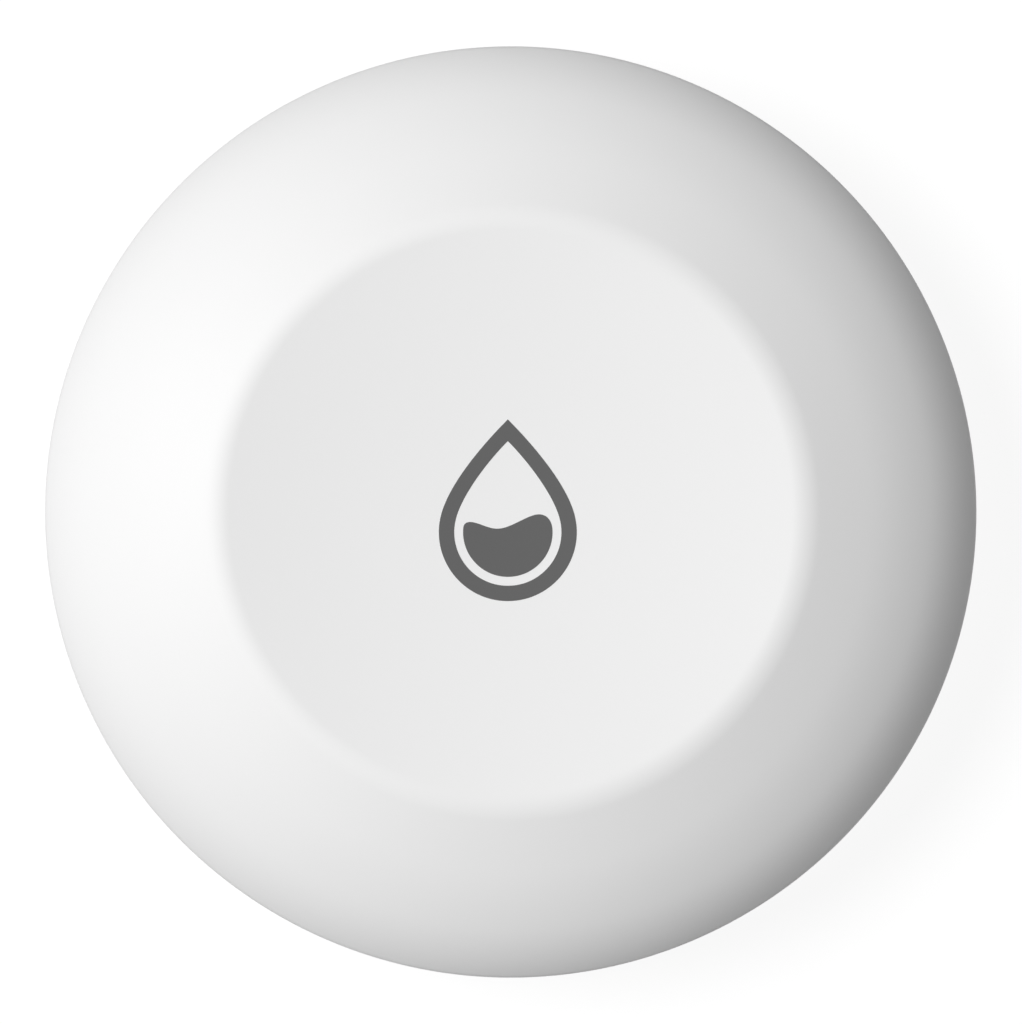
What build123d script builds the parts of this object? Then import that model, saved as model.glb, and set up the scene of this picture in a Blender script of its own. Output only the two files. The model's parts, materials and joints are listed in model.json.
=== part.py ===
from build123d import *
from math import atan, cos, degrees, pi, radians, sin
import os

# A round water leak sensor that stands on three rubber feet.
# Millimetres, +Z up, origin on the floor under the middle of the case, +Y towards the tip of the drop.

# Gaps and overruns shared by all pieces
overrun = 1.0
slide_gap = 0.3
touch_gap = 0.05
nest_gap = 0.1
thread_gap = 0.03

# Coin cell, a standard size
cell_radius = 10.0
cell_thickness = 3.2
cell_metal = 0.25
cell_gasket_wall = 0.35
cell_cap_rise = 0.3
cathode_thickness = 1.6

# Rubber feet
foot_radius = 2.5
foot_stand = 0.8
foot_recess = 0.6
foot_edge = 0.4
foot_rim = 0.8
foot_start_angle = 90
foot_count = 3

# Battery hatch
hatch_flange_height = 0.9
hatch_flange_overlap = 1.0
hatch_edge_gap = 0.2
hatch_rim = 1.4
hatch_land = 0.25
hatch_floor = 1.8
hatch_neck_wall = 1.3
hatch_seal_radius = 0.35
coin_slot_width = 2.0
coin_slot_length = 18.0
coin_slot_depth = 1.0
ledge_reach = 1.8
ledge_thickness = 0.7
ledge_angle = 24
lug_thickness = 0.7
lug_angle = 20
lug_count = 3
thread_lead = 6.0
lug_play = 0.15

# Lower case
base_floor = 2.0
base_side_height = 4.4
base_round_run = 4.0
tongue_height = 1.6
tongue_thickness = 1.2
collar_wall = 1.5
case_seal_radius = 0.33

# Upper case
cover_wall = 1.6
lip_thickness = 0.8
lip_lap = 1.45
ring_drop = 6.3
ring_radius_shares = (0.1457, 0.4171, 0.7337, 0.9849)
ring_slope_shares = (0.6031, 0.6704, 1.0936, 2.7915)

# Flexing dish with its plate and inlays
dish_radius = 15.05
dish_edge_slope = 6.2
membrane_thickness = 0.8
membrane_root = 0.65
plate_thickness = 0.9
plate_edge_gap = 0.5
plate_post_height = 0.31
plate_post_radius = 2.0
inlay_depth = 0.3
drop_radius = 3.68
drop_stroke = 0.82
drop_offset_x = -0.16
drop_offset_y = -1.075
drop_tip_share = 1.635
drop_tip_angle = 45
drop_tip_pull_share = 0.55
drop_join_angle = 15
drop_join_pull_share = 0.45
water_radius = 2.387
water_top_shares = (
    ((-0.9945, 0.1045), (-0.9843, 0.2016), (-0.9055, 0.2274), (-0.8435, 0.2274)),
    ((-0.8435, 0.2274), (-0.6601, 0.2274), (-0.4633, 0.0783), (-0.2277, 0.0783)),
    ((-0.2277, 0.0783), (0.063, 0.0783), (0.4519, 0.399), (0.6957, 0.399)),
    ((0.6957, 0.399), (0.897, 0.399), (0.987, 0.2249), (0.9977, 0.0679)),
)

# Screws
screw_radius = 1.0
case_head_radius = 1.8
case_head_height = 1.1
case_seat = 1.5
case_screw_reach = 6.0
case_boss_wall = 1.4
case_pad_wall = 1.3
board_screw_radius = 0.9
board_head_radius = 1.7
board_head_height = 0.9
board_screw_reach = 4.5
board_post_wall = 1.1
drive_width = 0.5
drive_depth = 0.5

# Water probes
probe_angle = 27
probe_head_radius = 1.9
probe_head_height = 1.2
probe_head_edge = 0.5
probe_floor_gap = 0.3
probe_length = 7.0
probe_seal_radius = 0.3
sleeve_wall = 0.9
probe_slot_width = 0.5
probe_slot_depth = 0.4

# Circuit board and what it carries
board_thickness = 1.0
board_edge_gap = 0.7
contact_space = 0.8
cradle_flange_height = 0.8
cradle_wall = 1.3
contact_metal = 0.2
contact_width = 3.0
contact_bend = 0.4
contact_pad = 2.2
contact_drop_share = 0.6
contact_tip_share = 0.2
switch_size = 6.0
switch_body_height = 1.3
switch_cover_thickness = 0.15
switch_cover_inset = 0.3
stem_radius = 1.3
stem_collar = 0.4
stem_collar_height = 0.3
stem_depth = 0.4
stem_stand = 0.3
dome_thickness = 0.08
dome_rise = 0.45
chip_size = 5.0
chip_height = 0.85
shield_length = 10.0
shield_width = 8.0
shield_height = 1.2
shield_metal = 0.2
shield_place_share = 0.45
crystal_length = 3.2
crystal_width = 2.5
crystal_height = 0.8
crystal_place_share = 0.42
led_length = 1.6
led_width = 0.8
led_height = 0.7
led_place_share = 0.42
capacitor_length = 7.3
capacitor_width = 4.3
capacitor_height = 2.6
antenna_metal = 0.4
antenna_height = 0.8
antenna_angle = 34
antenna_edge_gap = 0.45
small_part_length = 1.0
small_part_width = 0.5
small_part_height = 0.5
small_part_angles = (20, 38, 56, 74, 106, 124, 256, 284, 302, 320)
small_part_place_share = 0.62

# Radii, from the cell outwards
neck_radius = cell_radius + slide_gap
ledge_radius = neck_radius + slide_gap
bore_radius = ledge_radius + ledge_reach
lug_radius = bore_radius - slide_gap
plug_radius = bore_radius - slide_gap
flange_radius = bore_radius + hatch_flange_overlap
counterbore_radius = flange_radius + hatch_edge_gap
foot_hole_radius = foot_radius + nest_gap
fixing_circle = counterbore_radius + hatch_rim + foot_hole_radius
flat_radius = fixing_circle + foot_hole_radius + foot_rim
case_radius = flat_radius + base_round_run
tongue_radius = case_radius - cover_wall - nest_gap
tongue_inner_radius = tongue_radius - tongue_thickness
collar_radius = bore_radius + collar_wall
case_boss_radius = screw_radius + case_boss_wall
board_hole_radius = case_boss_radius + slide_gap
seal_groove_height = hatch_seal_radius * 2 + touch_gap * 2
seal_root_radius = bore_radius - touch_gap - hatch_seal_radius * 2 - touch_gap

# Heights, from the floor upwards
base_z = foot_stand
flange_top_z = base_z + hatch_flange_height
groove_z = flange_top_z + hatch_land
plug_top_z = groove_z + seal_groove_height + hatch_land
thread_slope = degrees(atan(thread_lead / (pi * (ledge_radius + lug_radius))))


def slab_rise(radius, angle):
    """How far a sloping slab climbs on each side of its middle."""
    return radius * sin(radians(angle / 2)) * thread_lead / (pi * (ledge_radius + lug_radius))


slab_share = 1 / cos(radians(thread_slope)) / 2
ledge_z = plug_top_z + lug_play + slab_rise(bore_radius, ledge_angle) + ledge_thickness * slab_share
lug_z = ledge_z + (ledge_thickness + lug_thickness + lug_play * 2) * slab_share
lug_top_z = lug_z + slab_rise(lug_radius, lug_angle) + lug_thickness * slab_share
neck_top_z = lug_top_z + lug_play
cell_z = neck_top_z + touch_gap
cell_top_z = cell_z + cell_thickness
collar_top_z = neck_top_z + slide_gap
board_z = cell_top_z + contact_space
board_top_z = board_z + board_thickness
floor_top_z = base_z + base_floor
seam_z = base_z + base_side_height
foot_top_z = base_z + foot_recess
head_seat_z = foot_top_z + touch_gap + case_head_height
pad_top_z = head_seat_z + case_seat
switch_top_z = board_top_z + switch_body_height
stem_top_z = switch_top_z + switch_cover_thickness + stem_stand
plate_z = stem_top_z + touch_gap + plate_post_height
membrane_z = plate_z + plate_thickness + touch_gap
dish_z = membrane_z + membrane_thickness
dish_ball_radius = dish_radius / sin(radians(dish_edge_slope))
dish_ball_z = dish_z + dish_ball_radius
dish_edge_z = dish_ball_z - dish_ball_radius * cos(radians(dish_edge_slope))
lip_under_z = dish_edge_z - lip_thickness
flange_under_z = lip_under_z - membrane_thickness
press_travel = stem_stand


def at_angles(count, start):
    """Evenly spaced angles round the middle of the case."""
    return [start + 360 * step / count for step in range(count)]


fixing_angles = at_angles(foot_count, foot_start_angle)
post_angles = at_angles(foot_count, foot_start_angle + 180 / foot_count)
probe_angles = (foot_start_angle - probe_angle, foot_start_angle + probe_angle)
lug_angles = at_angles(lug_count, 0)


def rod(radius, low_z, high_z):
    """An upright cylinder on the middle axis."""
    return Pos(0, 0, low_z) * Cylinder(radius, high_z - low_z, align=(Align.CENTER, Align.CENTER, Align.MIN))


def tube(outer, inner, low_z, high_z):
    """An upright ring on the middle axis."""
    return rod(outer, low_z, high_z) - rod(inner, low_z - overrun, high_z + overrun)


def block(length, width, low_z, high_z):
    """An upright box on the middle axis."""
    box = Box(length, width, high_z - low_z, align=(Align.CENTER, Align.CENTER, Align.MIN))
    return Pos(0, 0, low_z) * box


def at_polar(radius, angle):
    """A place on a circle round the middle axis, turned to face outwards."""
    return Rot(0, 0, angle) * Pos(radius, 0, 0)


def around(shape, radius, angles):
    """Copies of a shape on a circle."""
    return [at_polar(radius, angle) * shape for angle in angles]


def turned(lines):
    """A solid turned from lines drawn with the radius as x and the height as y."""
    return revolve(Plane.XZ * make_face(lines), Axis.Z)


def ball(radius):
    """A ball about the centre that the dish is struck from, its poles turned away from the dish."""
    return Pos(0, 0, dish_ball_z) * Rot(90, 0, 0) * Sphere(radius)


def save(node, shapes):
    """Write one named piece, or one group of alike pieces."""
    shapes = shapes if isinstance(shapes, list) else [shapes]
    solids = [solid for shape in shapes for solid in shape.solids()]
    piece = Compound(label=node, children=solids) if len(solids) > 1 else solids[0]
    export_step(piece, "parts/" + node + ".step")


def ring_arcs(start, slope, steps, inset):
    """Tangent arcs that fall outwards, each given by the radius it reaches and its slope there.

    The arcs run parallel to these, inside them by the inset. Returns them and the last point reached.
    """
    lines = []
    radius, z = start
    for next_radius, next_slope in steps:
        bend = (next_radius - radius) / (sin(radians(next_slope)) - sin(radians(slope)))
        place = (radius - inset * sin(radians(slope)), z - inset * cos(radians(slope)))
        heading = (cos(radians(slope)), -sin(radians(slope)))
        lines.append(JernArc(place, heading, bend - inset, slope - next_slope))
        z -= bend * (cos(radians(slope)) - cos(radians(next_slope)))
        radius, slope = next_radius, next_slope
    return lines, (radius, z)


ring_run = case_radius - dish_radius
crown_radius, waist_radius, brow_radius, shoulder_radius = [
    dish_radius + ring_run * share for share in ring_radius_shares]
# A wider ring is a gentler one, so the room over the board stays
crown_slope, waist_slope, brow_slope, shoulder_slope = [
    degrees(atan(ring_drop * share / ring_run)) for share in ring_slope_shares]


def crown_steps():
    """The lip, from the edge of the dish to the crown."""
    return ((crown_radius, crown_slope),)


def ring_steps():
    """The sloping ring, from the crown to the shoulder."""
    return ((waist_radius, waist_slope), (brow_radius, brow_slope), (shoulder_radius, shoulder_slope))


def cover_outside():
    """The outer shape of the upper case, with a flat lid where the dish goes."""
    steps = crown_steps() + ring_steps() + ((case_radius, 90),)
    arcs, (side, side_z) = ring_arcs((dish_radius, dish_edge_z), -dish_edge_slope, steps, 0)
    close = Polyline((side, side_z), (side, seam_z), (0, seam_z), (0, dish_edge_z),
                     (dish_radius, dish_edge_z))
    return turned(arcs + [close])


def cover_inside():
    """The hollow of the upper case, one wall inside its outer shape."""
    crown = ring_arcs((dish_radius, dish_edge_z), -dish_edge_slope, crown_steps(), 0)[1]
    arcs = ring_arcs(crown, crown_slope, ring_steps(), cover_wall)[0]
    top = arcs[0] @ 0
    low = arcs[-1] @ 1
    close = Polyline((low.X, low.Y), (low.X, seam_z - overrun), (0, seam_z - overrun), (0, top.Y),
                     (top.X, top.Y))
    return turned(arcs + [close]) & rod(case_radius - cover_wall, seam_z - overrun, dish_edge_z)


def room_radius(height):
    """How wide the upper case is inside at a height."""
    room = cover_inside() & rod(case_radius, height, height + overrun)
    return room.bounding_box().max.X


board_radius = room_radius(board_top_z) - board_edge_gap
antenna_radius = room_radius(board_top_z + antenna_height) - antenna_edge_gap


def top_cover():
    """The ring and side of the case, with bosses for the case screws."""
    outside = cover_outside()
    boss = rod(case_boss_radius, pad_top_z, dish_edge_z)
    bore = rod(screw_radius + thread_gap, pad_top_z - overrun, head_seat_z + case_screw_reach + slide_gap)
    room = outside + rod(tongue_inner_radius - slide_gap, pad_top_z, seam_z + overrun)
    cover = outside - cover_inside()
    for angle in fixing_angles:
        cover += (at_polar(fixing_circle, angle) * boss) & room
    cover -= rod(dish_radius, seam_z, dish_edge_z + overrun)
    cover -= rod(dish_radius + lip_lap, flange_under_z - membrane_thickness, lip_under_z)
    return cover - around(bore, fixing_circle, fixing_angles)


def press_membrane():
    """The thin dish, with a thicker root ring that is bonded under the lip."""
    dish = rod(dish_radius, membrane_z, dish_edge_z + overrun)
    dish -= ball(dish_ball_radius)
    dish &= ball(dish_ball_radius + membrane_thickness)
    root = tube(dish_radius + lip_lap, dish_radius - membrane_root, flange_under_z, lip_under_z)
    return dish + root - droplet_outline() - droplet_water()


def press_plate():
    """The stiff plate behind the dish, with a post over the switch."""
    radius = dish_radius - membrane_root - plate_edge_gap
    plate_ball = dish_ball_radius + membrane_thickness + touch_gap
    plate = rod(radius, plate_z, dish_edge_z) & ball(plate_ball + plate_thickness)
    plate -= ball(plate_ball)
    return plate + rod(plate_post_radius, plate_z - plate_post_height, plate_z + plate_thickness / 2)


def drop_face(inset):
    """The drop, filled, with its edge moved inwards by the inset."""
    radius = drop_radius - inset
    tip = (0, drop_radius * drop_tip_share - inset / sin(radians(drop_tip_angle)))
    join_x = radius * cos(radians(drop_join_angle))
    join_y = radius * sin(radians(drop_join_angle))
    tip_pull = radius * drop_tip_pull_share
    join_pull = radius * drop_join_pull_share
    leave = (tip_pull * sin(radians(drop_tip_angle)), tip[1] - tip_pull * cos(radians(drop_tip_angle)))
    arrive = (join_x - join_pull * sin(radians(drop_join_angle)),
              join_y + join_pull * cos(radians(drop_join_angle)))
    flank = Bezier(tip, leave, arrive, (join_x, join_y))
    belly = CenterArc((0, 0), radius, drop_join_angle, -90 - drop_join_angle)
    half = make_face([flank, belly, Line((0, -radius), tip)])
    return half + mirror(half, Plane.YZ)


def water_face():
    """The water in the drop: a round belly under a wavy top."""
    top = [Bezier(*[(water_radius * x, water_radius * y) for x, y in span]) for span in water_top_shares]
    belly = ThreePointArc(top[0] @ 0, (0, -water_radius), top[-1] @ 1)
    return make_face([*top, belly])


def stamp(face):
    """A flat face of the drawing drawn out through the dish."""
    height = dish_edge_z - dish_z + overrun * 2
    return extrude(Pos(drop_offset_x, drop_offset_y, dish_z - overrun) * face, height)


def inlay(face):
    """A thin piece let into the dish, level with it, in the shape of a flat face."""
    return (stamp(face) & ball(dish_ball_radius + inlay_depth)) - ball(dish_ball_radius)


def droplet_outline():
    """The grey outline of the drop, moulded into the dish."""
    return inlay(drop_face(0)) - stamp(drop_face(drop_stroke))


def droplet_water():
    """The grey water in the drop, moulded into the dish."""
    return inlay(water_face())


def thread_slab(inner, outer, angle, thickness, middle_z):
    """A sloping block between two radii, one turn of a thread cut short."""
    slab = Pos(0, 0, middle_z) * Rot(thread_slope, 0, 0) * Box(outer * 2, outer * 2, thickness)
    wedge = Rot(0, 0, -angle / 2) * Cylinder(
        outer, thickness + outer, arc_size=angle, align=(Align.NONE, Align.NONE, Align.CENTER))
    wedge = Pos(0, 0, middle_z) * wedge - rod(inner, middle_z - outer, middle_z + outer)
    return slab & wedge


def base_shell():
    """The lower case, with the battery opening, pads, posts and pockets."""
    curve = EllipticalCenterArc((flat_radius, seam_z), base_round_run, base_side_height, 270, arc_size=90)
    body = turned([curve, Polyline((case_radius, seam_z), (0, seam_z), (0, base_z), (flat_radius, base_z))])
    body += rod(tongue_radius, seam_z - cover_wall, seam_z + tongue_height)
    body -= rod(tongue_inner_radius, floor_top_z, seam_z + tongue_height + overrun)
    groove_root = tongue_radius - case_seal_radius * 2
    groove_z_mid = seam_z + tongue_height / 2
    groove_half = case_seal_radius + touch_gap
    body -= tube(case_radius, groove_root, groove_z_mid - groove_half, groove_z_mid + groove_half)
    body += rod(collar_radius, floor_top_z - touch_gap, collar_top_z)
    pad = rod(case_head_radius + nest_gap + case_pad_wall, floor_top_z - touch_gap, pad_top_z)
    post = rod(board_screw_radius + board_post_wall, floor_top_z - touch_gap, board_z)
    body = body + around(pad, fixing_circle, fixing_angles) + around(post, fixing_circle, post_angles)
    body -= rod(bore_radius, base_z - overrun, collar_top_z + overrun)
    body -= rod(counterbore_radius, base_z - overrun, flange_top_z)
    ledge = thread_slab(ledge_radius, bore_radius + collar_wall / 2, ledge_angle, ledge_thickness, ledge_z)
    body = body + [Rot(0, 0, angle) * ledge for angle in lug_angles]
    body -= around(case_screw_hole(), fixing_circle, fixing_angles)
    pilot = rod(board_screw_radius + thread_gap, board_z - board_screw_reach - slide_gap, board_z + overrun)
    body -= around(pilot, fixing_circle, post_angles)
    return body - around(probe_hole(), fixing_circle, probe_angles)


def case_screw_hole():
    """The pocket of a foot, the pocket of the screw head above it, and the way through."""
    hole = rod(foot_hole_radius, base_z - overrun, foot_top_z)
    hole += rod(case_head_radius + nest_gap, base_z, head_seat_z)
    return hole + rod(screw_radius + nest_gap, base_z, pad_top_z + overrun)


def probe_hole():
    """The pocket of a probe's head, the pocket of its seal above it, and the way through."""
    seat_z = probe_floor_gap + probe_head_height
    seal_radius = screw_radius + touch_gap * 2 + probe_seal_radius * 2
    hole = rod(probe_head_radius + nest_gap, base_z - overrun, seat_z)
    hole += rod(seal_radius, base_z, seat_z + probe_seal_radius * 2 + touch_gap)
    return hole + rod(screw_radius + nest_gap, base_z, floor_top_z + overrun)


def case_seal():
    """The ring seal in the groove of the lower case."""
    place = Pos(0, 0, seam_z + tongue_height / 2)
    return place * Torus(tongue_radius - case_seal_radius + thread_gap, case_seal_radius)


def drive_cross(radius, face_z, way):
    """The cross cut of a screw head, open to below or to above."""
    low_z, high_z = sorted((face_z - way * overrun, face_z + way * drive_depth))
    return block(radius, drive_width, low_z, high_z) + block(drive_width, radius, low_z, high_z)


def case_screws():
    """Three screws that hold the case halves together, heads down."""
    head = rod(case_head_radius, head_seat_z - case_head_height, head_seat_z)
    screw = head + rod(screw_radius, head_seat_z - touch_gap, head_seat_z + case_screw_reach)
    screw -= drive_cross(case_head_radius, head_seat_z - case_head_height, 1)
    return around(screw, fixing_circle, fixing_angles)


def rubber_feet():
    """Three feet set in the pockets under the lower case."""
    foot = rod(foot_radius, 0, foot_top_z)
    foot = chamfer(foot.edges().group_by(Axis.Z)[0], foot_edge)
    return around(foot, fixing_circle, fixing_angles)


def battery_hatch():
    """The hatch: flange, plug with the seal groove, neck, and lugs on sloping threads."""
    hatch = rod(flange_radius, base_z, flange_top_z) + rod(plug_radius, base_z, plug_top_z)
    hatch += rod(neck_radius, base_z, neck_top_z)
    hatch -= rod(neck_radius - hatch_neck_wall, base_z + hatch_floor, neck_top_z + overrun)
    hatch -= tube(bore_radius, seal_root_radius, groove_z, groove_z + seal_groove_height)
    lug = thread_slab(neck_radius - hatch_neck_wall / 2, lug_radius, lug_angle, lug_thickness, lug_z)
    hatch = hatch + [Rot(0, 0, angle) * lug for angle in lug_angles]
    slot_run = coin_slot_length - coin_slot_width
    slot = extrude(Pos(0, 0, base_z - overrun) * SlotCenterToCenter(slot_run, coin_slot_width),
                   coin_slot_depth + overrun)
    return hatch - slot


def hatch_seal():
    """The ring seal of the hatch."""
    place = Pos(0, 0, groove_z + seal_groove_height / 2)
    return place * Torus(bore_radius - touch_gap - hatch_seal_radius, hatch_seal_radius)


def coin_cell_can():
    """The cup of the cell, its positive side, facing down."""
    cup = rod(cell_radius, cell_z, cell_top_z - cell_cap_rise)
    return cup - rod(cell_radius - cell_metal, cell_z + cell_metal, cell_top_z)


def coin_cell_gasket():
    """The plastic ring between the cup and the cap."""
    outer = cell_radius - cell_metal
    return tube(outer, outer - cell_gasket_wall, cell_z + cell_metal, cell_top_z - cell_cap_rise)


def coin_cell_cathode():
    """The pressed disc in the cup."""
    radius = cell_radius - cell_metal - cell_gasket_wall
    return rod(radius, cell_z + cell_metal, cell_z + cell_metal + cathode_thickness)


def coin_cell_anode():
    """The metal disc in the cap."""
    radius = cell_radius - cell_metal - cell_gasket_wall - cell_metal
    return rod(radius, cell_z + cell_metal + cathode_thickness, cell_top_z - cell_metal)


def coin_cell_cap():
    """The cap of the cell, its negative side, facing up."""
    radius = cell_radius - cell_metal - cell_gasket_wall
    low_z = cell_z + cell_metal + cathode_thickness
    return rod(radius, low_z, cell_top_z) - rod(radius - cell_metal, low_z - overrun, cell_top_z - cell_metal)


def battery_cradle():
    """The ring that holds the cell, open on one side for the positive contact."""
    inner = neck_radius
    cradle = tube(collar_radius, inner, collar_top_z, collar_top_z + cradle_flange_height)
    cradle += tube(inner + cradle_wall, inner, collar_top_z, board_z)
    gate = Pos(inner, 0, 0) * block(cradle_wall * 2 + collar_wall + ledge_reach,
                                    contact_width + slide_gap * 2,
                                    collar_top_z + cradle_flange_height, board_z + overrun)
    return cradle - gate


def bent_strip(points, middle_x, low_bend):
    """A metal strip along points given as radius and height, centred on the X axis."""
    path = FilletPolyline(*points, radius=low_bend)
    strip = trace(path, contact_metal)
    return Pos(middle_x, 0, 0) * extrude(Plane.XZ * strip, contact_width / 2, both=True)


def positive_contact():
    """A leaf under the board that reaches down through the cradle to the side of the cell."""
    half = contact_metal / 2
    pad_z = board_z - half
    touch_x = cell_radius + touch_gap + half
    back_x = neck_radius + cradle_wall
    height = board_z - collar_top_z - cradle_flange_height
    points = [(back_x + contact_pad, pad_z), (back_x, pad_z),
              (touch_x, board_z - height * contact_drop_share),
              (back_x - cradle_wall / 2, board_z - height * (contact_drop_share + contact_tip_share))]
    return bent_strip(points, 0, contact_bend)


def negative_contact():
    """A leaf under the board that presses on the cap of the cell."""
    half = contact_metal / 2
    pad_z = board_z - half
    touch_z = cell_top_z + touch_gap + half
    span = cell_radius / 2
    points = [(-span - contact_pad, pad_z), (-span, pad_z), (0, touch_z), (span / 2, touch_z + contact_metal)]
    return bent_strip(points, 0, contact_bend)


def circuit_board():
    """The round board, with holes for the case bosses and its own screws."""
    board = rod(board_radius, board_z, board_top_z)
    boss_hole = rod(board_hole_radius, board_z - overrun, board_top_z + overrun)
    screw_hole = rod(board_screw_radius + nest_gap, board_z - overrun, board_top_z + overrun)
    board -= around(boss_hole, fixing_circle, fixing_angles)
    return board - around(screw_hole, fixing_circle, post_angles)


def board_screws():
    """Three screws that hold the board on its posts."""
    head_top_z = board_top_z + board_head_height
    screw = rod(board_head_radius, board_top_z, head_top_z)
    screw += rod(board_screw_radius, board_z - board_screw_reach, board_top_z + touch_gap)
    screw -= drive_cross(board_head_radius, head_top_z, -1)
    return around(screw, fixing_circle, post_angles)


def stem_pocket_z():
    """The floor of the pocket in the switch, under the dome."""
    return switch_top_z - stem_depth - dome_rise


def switch_body():
    """The block of the push switch, hollow for the stem and the dome."""
    pocket = rod(stem_radius + stem_collar + nest_gap, stem_pocket_z(), switch_top_z + overrun)
    return block(switch_size, switch_size, board_top_z, switch_top_z) - pocket


def switch_cover():
    """The metal plate on the switch that holds the stem in."""
    size = switch_size - switch_cover_inset * 2
    plate = block(size, size, switch_top_z, switch_top_z + switch_cover_thickness)
    return plate - rod(stem_radius + nest_gap, switch_top_z - overrun, stem_top_z)


def switch_dome():
    """The thin snap dome under the stem."""
    foot = stem_radius + stem_collar
    rise = dome_rise - touch_gap
    low_z = stem_pocket_z()
    arch = ThreePointArc((-foot, low_z), (0, low_z + rise), (foot, low_z))
    under = ThreePointArc((-foot + dome_thickness, low_z), (0, low_z + rise - dome_thickness),
                          (foot - dome_thickness, low_z))
    half = Pos(foot / 2, low_z + rise / 2) * Rectangle(foot, rise + overrun)
    skin = make_face([arch, Line((foot, low_z), (-foot, low_z))])
    skin -= make_face([under, Line((foot - dome_thickness, low_z), (-foot + dome_thickness, low_z))])
    return revolve(Plane.XZ * (skin & half), Axis.Z)


def switch_stem():
    """The moving stem of the switch, with a collar under the metal plate."""
    low_z = switch_top_z - stem_depth
    collar = rod(stem_radius + stem_collar, low_z, low_z + stem_collar_height)
    return rod(stem_radius, low_z, stem_top_z) + collar


def radio_chip():
    """The radio chip under its shield."""
    place = Pos(-board_radius * shield_place_share, 0, 0)
    return place * block(chip_size, chip_size, board_top_z, board_top_z + chip_height)


def radio_shield():
    """The thin metal box over the radio chip."""
    top_z = board_top_z + shield_height
    box = block(shield_length, shield_width, board_top_z, top_z)
    inner = block(shield_length - shield_metal * 2, shield_width - shield_metal * 2,
                  board_top_z - overrun, top_z - shield_metal)
    return Pos(-board_radius * shield_place_share, 0, 0) * (box - inner)


def antenna():
    """A metal strip standing on edge along the rim of the board."""
    wedge = Rot(0, 0, -antenna_angle / 2) * Cylinder(
        antenna_radius, antenna_height, arc_size=antenna_angle, align=(Align.NONE, Align.NONE, Align.MIN))
    strip = Pos(0, 0, board_top_z) * wedge
    top_z = board_top_z + antenna_height
    return strip - rod(antenna_radius - antenna_metal, board_top_z - overrun, top_z + overrun)


def crystal():
    """The metal can of the clock crystal."""
    can = block(crystal_length, crystal_width, board_top_z, board_top_z + crystal_height)
    return Pos(0, -board_radius * crystal_place_share, 0) * can


def status_led():
    """The lamp that shines through the milky plate and dish."""
    lamp = block(led_width, led_length, board_top_z, board_top_z + led_height)
    return Pos(board_radius * led_place_share, 0, 0) * lamp


def bulk_capacitor():
    """The large capacitor under the board, beside the cradle."""
    low_x = neck_radius + cradle_wall + slide_gap
    high_x = tongue_inner_radius - slide_gap
    can = block(capacitor_width, capacitor_length, board_z - capacitor_height, board_z)
    return Pos(-(low_x + high_x) / 2, 0, 0) * can


def chip_parts():
    """Small resistors and capacitors on the board."""
    part = block(small_part_length, small_part_width, board_top_z, board_top_z + small_part_height)
    return around(part, board_radius * small_part_place_share, small_part_angles)


def probe_screws():
    """Two metal water probes, heads just off the floor."""
    seat_z = probe_floor_gap + probe_head_height
    probe = rod(probe_head_radius, probe_floor_gap, seat_z)
    probe = fillet(probe.edges().group_by(Axis.Z)[0], probe_head_edge)
    probe += rod(screw_radius, seat_z - touch_gap, seat_z + probe_length)
    slot = block(probe_head_radius * 2 + overrun, probe_slot_width,
                 probe_floor_gap - overrun, probe_floor_gap + probe_slot_depth)
    return around(probe - slot, fixing_circle, probe_angles)


def probe_seals():
    """A ring seal round the shank of each probe."""
    seat_z = probe_floor_gap + probe_head_height
    ring = Torus(screw_radius + touch_gap + probe_seal_radius, probe_seal_radius)
    return around(Pos(0, 0, seat_z + probe_seal_radius) * ring, fixing_circle, probe_angles)


def probe_sleeves():
    """A threaded metal spacer above each probe, up to the board."""
    sleeve = tube(screw_radius + sleeve_wall, screw_radius + thread_gap, floor_top_z, board_z)
    return around(sleeve, fixing_circle, probe_angles)


os.makedirs("parts", exist_ok=True)
for make in (
    top_cover, press_membrane, droplet_outline, droplet_water, press_plate, base_shell, case_seal,
    case_screws, rubber_feet, battery_hatch, hatch_seal, coin_cell_can, coin_cell_gasket,
    coin_cell_cathode, coin_cell_anode, coin_cell_cap, battery_cradle, positive_contact,
    negative_contact, circuit_board, board_screws, switch_body, switch_cover, switch_dome,
    switch_stem, radio_chip, radio_shield, antenna, crystal, status_led, bulk_capacitor,
    chip_parts, probe_screws, probe_seals, probe_sleeves,
):
    save(make.__name__, make())
print("case radius", round(case_radius, 3), "height", round(dish_edge_z, 3))
print("press travel", round(press_travel, 3), "thread slope", round(thread_slope, 3))
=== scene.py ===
import json
from math import asin, cos, pi, radians, sin, sqrt, tan

import bmesh
import bpy
from mathutils import Matrix, Vector


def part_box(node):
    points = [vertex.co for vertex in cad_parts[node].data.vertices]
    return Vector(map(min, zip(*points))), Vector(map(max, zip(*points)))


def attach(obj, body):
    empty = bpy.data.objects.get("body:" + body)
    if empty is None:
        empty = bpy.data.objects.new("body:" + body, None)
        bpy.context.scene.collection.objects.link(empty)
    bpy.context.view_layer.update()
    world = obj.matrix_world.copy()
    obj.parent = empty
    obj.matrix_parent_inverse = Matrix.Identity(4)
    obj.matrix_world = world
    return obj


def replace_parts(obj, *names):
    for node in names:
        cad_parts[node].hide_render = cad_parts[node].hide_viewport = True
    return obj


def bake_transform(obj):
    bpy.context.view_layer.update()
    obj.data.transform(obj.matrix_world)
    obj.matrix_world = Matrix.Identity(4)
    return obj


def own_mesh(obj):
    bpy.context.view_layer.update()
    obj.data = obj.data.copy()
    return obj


# A round water leak sensor: a white puck with a flexing dish on top, standing on three rubber feet.
# Meshes are drawn in millimetres and brought to metres when they are finished.

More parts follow.
